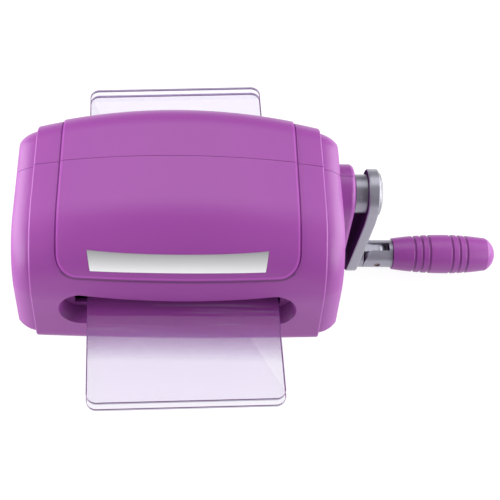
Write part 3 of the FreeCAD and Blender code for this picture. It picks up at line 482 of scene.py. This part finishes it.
class FootLook(bpy.types.PropertyGroup):
    """Sizes and colour of the rubber feet."""

    rubber: colour_setting("Rubber", "Colour of the feet", (0.022, 0.022, 0.025))
    radius: length_setting("Radius", "Radius of a foot", 0.011)
    chamfer: length_setting("Chamfer", "Chamfer of a foot's lower edge", 0.001)
    ribs: bpy.props.IntProperty(name="Ribs", description="Round ribs under a foot", default=3, min=1)
    rib_depth: length_setting("Rib depth", "Depth between the ribs", 0.0007)


class ScrewLook(bpy.types.PropertyGroup):
    """Sizes of the screws that hold the rear casing."""

    head_radius: length_setting("Head radius", "Radius of the head", 0.004)
    head_height: length_setting("Head height", "Height of the head", 0.003)
    shank_radius: length_setting("Shank radius", "Radius over the thread", 0.002)
    pitch: length_setting("Pitch", "Pitch of the thread", 0.001)
    thread_depth: length_setting("Thread depth", "Depth of the thread", 0.00035)
    recess_length: length_setting("Recess length", "Length of the cross recess", 0.0042)
    recess_width: length_setting("Recess width", "Width of the cross recess", 0.0010)
    recess_depth: length_setting("Recess depth", "Depth of the cross recess", 0.0016)


class PlateLook(bpy.types.PropertyGroup):
    """Colour and clearness of the plates."""

    tint: colour_setting("Tint", "Smoky tint of the clear plates", (0.34, 0.22, 0.52))
    # Colour of the painted shadow band.
    shade: colour_setting("Shade", "Darker tint of the worn zone", (0.27, 0.05, 0.29))
    side: colour_setting("Sides", "Colour of the cut sides", (0.44, 0.41, 0.54))
    rim: colour_setting("Rims", "Colour of the bevelled rims", (0.10, 0.025, 0.12))
    body: share_setting("Body", "How much a plate's face covers", 0.115)
    # How much more the painted shadow band covers.
    shadow_cover: share_setting("Shadow cover", "How much more the worn zone covers", 0.38)
    side_cover: share_setting("Side cover", "How much more the cut sides cover", 0.85)
    rim_cover: share_setting("Rim cover", "How much more the rims cover", 0.85)
    # Where the painted shadow band, with its scratches, lies along Y.
    scratch_shadow_middle: length_setting("Worn middle", "Where the worn zone's middle lies along Y", -0.0254)
    scratch_shadow_reach: length_setting("Worn reach", "Half the length of the worn zone", 0.104)
    scratch_shadow_fade: length_setting("Worn fade", "Length over which the worn zone fades", 0.03)


class StageLook(bpy.types.PropertyGroup):
    """Camera, floor and light."""

    place: bpy.props.FloatVectorProperty(
        name="Camera", description="Where the camera stands", subtype="XYZ", unit="LENGTH",
        default=(0.0007, -0.5282, 0.8579)
    )
    pitch: angle_setting("Pitch", "Turn of the camera up from straight down", 32.31)
    roll: angle_setting("Roll", "Turn of the camera about its view", 0.40)
    yaw: angle_setting("Yaw", "Turn of the camera about the upright", 0.08)
    focal: bpy.props.FloatProperty(
        name="Focal length", description="In pixels of the photograph's frame", default=1103.4, min=1.0
    )
    aim: bpy.props.FloatProperty(
        name="Aim", description="Column of the photograph that the camera looks straight at", default=178.0
    )
    floor: colour_setting("Floor", "Colour of the floor", (0.15, 0.15, 0.15))
    glow: share_setting("Glow", "How much the white floor shines by itself", 0.9)
    sky: share_setting("Sky", "Strength of the even light from all round", 0.18)


# Operators, one for each group of pieces

class DressCasing(bpy.types.Operator):
    """Gives the casing halves and the base plate their moulded plastic"""

    bl_idname = "die_cutter.dress_casing"
    bl_label = "Casing and base"

    def execute(self, context):
        look = context.scene.casing_look
        shell = moulded_plastic("casing_purple", look.casing, look.roughness, look.grain, look)
        base = moulded_plastic("base_purple", look.base, look.roughness + 0.1, look.grain)
        dress(shell, "front_casing", "rear_casing")
        dress(base, "base_plate")
        return {"FINISHED"}


class DressLabel(bpy.types.Operator):
    """Gives the blank label plate its film"""

    bl_idname = "die_cutter.dress_label"
    bl_label = "Label plate"

    def execute(self, context):
        look = context.scene.label_look
        dress(label_film("label_white", look.film, look.grey), "label_plate")
        return {"FINISHED"}


class DressGrip(bpy.types.Operator):
    """Gives the turning grip its moulded plastic"""

    bl_idname = "die_cutter.dress_grip"
    bl_label = "Grip"

    def execute(self, context):
        look = context.scene.casing_look
        dress(moulded_plastic("grip_purple", look.grip, look.roughness, look.grain), "grip")
        return {"FINISHED"}


class DressCrank(bpy.types.Operator):
    """Gives the crank, its hub and the folding fork their enamel"""

    bl_idname = "die_cutter.dress_crank"
    bl_label = "Crank"

    def execute(self, context):
        look = context.scene.metal_look
        # Both enamels carry the dark painted shade on their faces turned to -X.
        enamel = enamelled_metal("crank_enamel", look.enamel, look.painted_back_shade, 0.55)
        silver = enamelled_metal("hub_silver", look.hub, look.painted_back_shade, 0.6)
        dress(enamel, "crank_collar", "crank_arm", "handle_lug", "handle_fork")
        dress(silver, "hub_cap")
        dress(sintered_metal("pin_steel", look.pin, 0.4), "fold_pin")
        return {"FINISHED"}


class MakeFeet(bpy.types.Operator):
    """Makes the ribbed rubber feet, one unit set at four corners"""

    bl_idname = "die_cutter.make_feet"
    bl_label = "Rubber feet"

    def execute(self, context):
        look = context.scene.foot_look
        low, high = (Vector(corner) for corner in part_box("rubber_feet"))
        outside = high.z - low.z
        profile = [(0.0, look.rib_depth)]
        pitch = (look.radius - look.chamfer) / look.ribs
        for rib in range(look.ribs):
            start = rib * pitch
            profile += [(start + pitch * 0.45, look.rib_depth), (start + pitch * 0.55, 0.0)]
            profile.append((start + pitch, 0.0))
            if rib + 1 < look.ribs:
                profile.append((start + pitch * 1.1, look.rib_depth))
        profile += [(look.radius, look.chamfer), (look.radius, outside), (0.0, outside)]
        spread = high - low
        sizes = {"Spread across": spread.x - 2 * look.radius, "Spread along": spread.y - 2 * look.radius}
        tree = Repeat("feet_at_corners", sizes)
        middle = (low + high) / 2
        shape = tree.corners(tree.unit, (middle.x, middle.y, low.z), 0.0)
        rubber = foot_rubber("foot_rubber", look.rubber)
        piece = tree.grow(shape, turned_unit("foot_unit", profile, 64), rubber, "ribbed_feet")
        set_piece(piece, "rubber_feet", "housing")
        return {"FINISHED"}


class MakeCasingScrews(bpy.types.Operator):
    """Makes the cross-recess screws that hold the rear casing, one unit set at four corners"""

    bl_idname = "die_cutter.make_casing_screws"
    bl_label = "Casing screws"

    def execute(self, context):
        look = context.scene.screw_look
        low, high = (Vector(corner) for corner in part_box("casing_screws"))
        seat = high.y - look.head_height
        tip = low.y - seat
        dome = look.head_height
        crown = [(0.35, 1.0), (0.62, 0.93), (0.82, 0.78), (0.95, 0.55), (1.0, 0.3), (1.0, 0.0)]
        profile = [(0.0, dome)] + [(look.head_radius * wide, dome * tall) for wide, tall in crown]
        turns = int(-tip / look.pitch)
        for turn in range(turns):
            height = -look.pitch * turn
            profile.append((look.shank_radius, height))
            profile.append((look.shank_radius - look.thread_depth, height - look.pitch / 2))
        profile.append((0.0, tip))
        spread = high - low
        sizes = {
            "Spread across": spread.x - 2 * look.head_radius,
            "Spread along": spread.z - 2 * look.head_radius,
            "Head top": dome,
            "Recess length": look.recess_length,
            "Recess width": look.recess_width,
            "Recess depth": look.recess_depth,
        }
        tree = Repeat("screws_at_corners", sizes)
        middle = (low + high) / 2
        unit = tree.cross_cut(tree.unit)
        shape = tree.corners(unit, (middle.x, seat, middle.z), -math.pi / 2)
        steel = drawn_steel("casing_screw_zinc", context.scene.metal_look.zinc, (6.0, 6.0, 6.0), 0.3)
        piece = tree.grow(shape, turned_unit("screw_unit", profile, 40), steel, "cross_head_screws")
        set_piece(piece, "casing_screws", "housing")
        return {"FINISHED"}


class DressWorks(bpy.types.Operator):
    """Gives the frames, rollers, shafts, gears, bushes and screws their metals"""

    bl_idname = "die_cutter.dress_works"
    bl_label = "Works inside"

    def execute(self, context):
        look = context.scene.metal_look
        rolled = drawn_steel("frame_zinc", look.zinc, (1.0, 1.0, 14.0), 0.42)
        turned = drawn_steel("shaft_steel", look.steel, (60.0, 1.0, 1.0), 0.28)
        plated = drawn_steel("screw_zinc", look.zinc, (6.0, 6.0, 6.0), 0.3)
        ground = drawn_steel("roller_steel", look.steel, (90.0, 1.0, 1.0), 0.34)
        dress(rolled, "left_side_frame", "right_side_frame")
        dress(turned, "tie_rods", "crank_shaft", "lower_shaft", "grip_spindle")
        dress(plated, "tie_rod_screws", "frame_foot_screws")
        dress(plated, "lower_shaft_clip", "upper_shaft_clip", "spindle_clip")
        dress(ground, "upper_roller", "lower_roller")
        dress(sintered_metal("gear_iron", look.iron, 0.5), "upper_gear", "lower_gear")
        bronze = sintered_metal("bush_bronze", look.bronze, 0.42)
        dress(bronze, "upper_roller_bushes", "lower_roller_bushes", "crank_bush")
        return {"FINISHED"}


class DressPlates(bpy.types.Operator):
    """Gives the two clear plates their acrylic"""

    bl_idname = "die_cutter.dress_plates"
    bl_label = "Clear plates"

    def execute(self, context):
        look = context.scene.plate_look
        acrylic = clear_acrylic("plate_acrylic", look)
        dress(acrylic, "cutting_plate", "base_platform")
        return {"FINISHED"}


def soft_box(name, place, size, power, mirrored=True):
    """A rectangular studio light that looks at the machine, and may be kept out of reflections."""
    lamp = bpy.data.lights.new(name, "AREA")
    lamp.shape = "RECTANGLE"
    lamp.size = size[0]
    lamp.size_y = size[1]
    lamp.energy = power
    light = bpy.data.objects.new(name, lamp)
    light.location = place
    light.visible_glossy = mirrored
    view = Vector(MACHINE_MIDDLE) - Vector(place)
    light.rotation_euler = view.to_track_quat("-Z", "Y").to_euler()
    bpy.context.scene.collection.objects.link(light)


class SetStage(bpy.types.Operator):
    """Makes the camera, the floor and the soft studio light"""

    bl_idname = "die_cutter.set_stage"
    bl_label = "Stage"

    def execute(self, context):
        look = context.scene.stage_look
        self.camera(context.scene, look)
        self.floor(look)
        self.light(context.scene, look)
        return {"FINISHED"}

    def camera(self, scene, look):
        """Sets the camera that the photograph was taken with."""
        lens = bpy.data.cameras.new("photo_camera")
        lens.sensor_width = 36.0
        lens.lens = look.focal / PHOTO_SIDE * lens.sensor_width
        lens.shift_x = (PHOTO_SIDE / 2 - look.aim) / PHOTO_SIDE
        lens.clip_start = 0.01
        camera = bpy.data.objects.new("photo_camera", lens)
        aimed = Matrix.Rotation(look.yaw, 4, "Z") @ Matrix.Rotation(look.pitch, 4, "X")
        camera.matrix_world = Matrix.Translation(look.place) @ aimed @ Matrix.Rotation(look.roll, 4, "Z")
        scene.collection.objects.link(camera)
        scene.camera = camera

    def floor(self, look):
        """Lays a white floor under the machine."""
        half = 6.0
        mesh = bpy.data.meshes.new("studio_floor")
        corners = [(-half, -half, 0), (half, -half, 0), (half, half, 0), (-half, half, 0)]
        mesh.from_pydata(corners, [], [(0, 1, 2, 3)])
        finish = Finish("floor_white")
        paper = finish.noise(30, 2)
        finish.set(Base_Color=finish.mixed(paper, shaded(look.floor, 0.99), full_colour(look.floor)))
        finish.set(Roughness=0.9)
        finish.set(Emission_Color=(1.0, 1.0, 1.0, 1.0), Emission_Strength=look.glow)
        mesh.materials.append(finish.material)
        floor = bpy.data.objects.new("studio_floor", mesh)
        bpy.context.scene.collection.objects.link(floor)

    def light(self, scene, look):
        """Lights the machine evenly, from above and from both sides."""
        world = bpy.data.worlds.new("studio_air")
        world.use_nodes = True
        sky = world.node_tree.nodes["Background"]
        sky.inputs["Color"].default_value = (1.0, 1.0, 1.0, 1.0)
        sky.inputs["Strength"].default_value = look.sky
        scene.world = world
        soft_box("top_box", (0.0, 0.75, 1.6), (1.6, 1.2), 11.5)
        soft_box("left_box", (-1.0, 0.0, 0.4), (1.6, 0.7), 19.0)
        soft_box("right_box", (1.0, 0.0, 0.4), (1.6, 0.7), 17.0)
        soft_box("left_fill", (-1.0, 0.0, 0.6), (1.6, 0.8), 8.0, mirrored=False)
        soft_box("right_fill", (1.0, 0.0, 0.6), (1.6, 0.8), 7.0, mirrored=False)
        scene.view_settings.view_transform = "Standard"


class DieCutterPanel(bpy.types.Panel):
    """Lists the steps that dress the machine"""

    bl_idname = "VIEW3D_PT_die_cutter"
    bl_label = "Die cutting machine"
    bl_space_type = "VIEW_3D"
    bl_region_type = "UI"
    bl_category = "Die cutter"

    def draw(self, context):
        for step in STEPS:
            self.layout.operator(step.bl_idname)
        for name, look in LOOKS.items():
            settings = getattr(context.scene, name)
            column = self.layout.column(heading=look.__doc__)
            for key in look.__annotations__:
                column.prop(settings, key)


LOOKS = {
    "casing_look": CasingLook,
    "label_look": LabelLook,
    "metal_look": MetalLook,
    "foot_look": FootLook,
    "screw_look": ScrewLook,
    "plate_look": PlateLook,
    "stage_look": StageLook,
}
STEPS = (
    DressCasing,
    DressLabel,
    DressGrip,
    DressCrank,
    DressWorks,
    MakeFeet,
    MakeCasingScrews,
    DressPlates,
    SetStage,
)


def register():
    for look in LOOKS.values():
        bpy.utils.register_class(look)
    for name, look in LOOKS.items():
        setattr(bpy.types.Scene, name, bpy.props.PointerProperty(type=look))
    for step in STEPS:
        bpy.utils.register_class(step)
    bpy.utils.register_class(DieCutterPanel)


def unregister():
    bpy.utils.unregister_class(DieCutterPanel)
    for step in reversed(STEPS):
        bpy.utils.unregister_class(step)
    for name in LOOKS:
        delattr(bpy.types.Scene, name)
    for look in reversed(LOOKS.values()):
        bpy.utils.unregister_class(look)


def main():
    """Dresses the machine step by step and keeps both boxes."""
    register()
    bpy.ops.die_cutter.dress_casing()
    bpy.ops.die_cutter.dress_label()
    bpy.ops.die_cutter.dress_grip()
    bpy.ops.die_cutter.dress_crank()
    bpy.ops.die_cutter.dress_works()
    bpy.ops.die_cutter.make_feet()
    bpy.ops.die_cutter.make_casing_screws()
    bpy.ops.die_cutter.dress_plates()
    bpy.ops.die_cutter.set_stage()


if __name__ == "__main__":
    main()
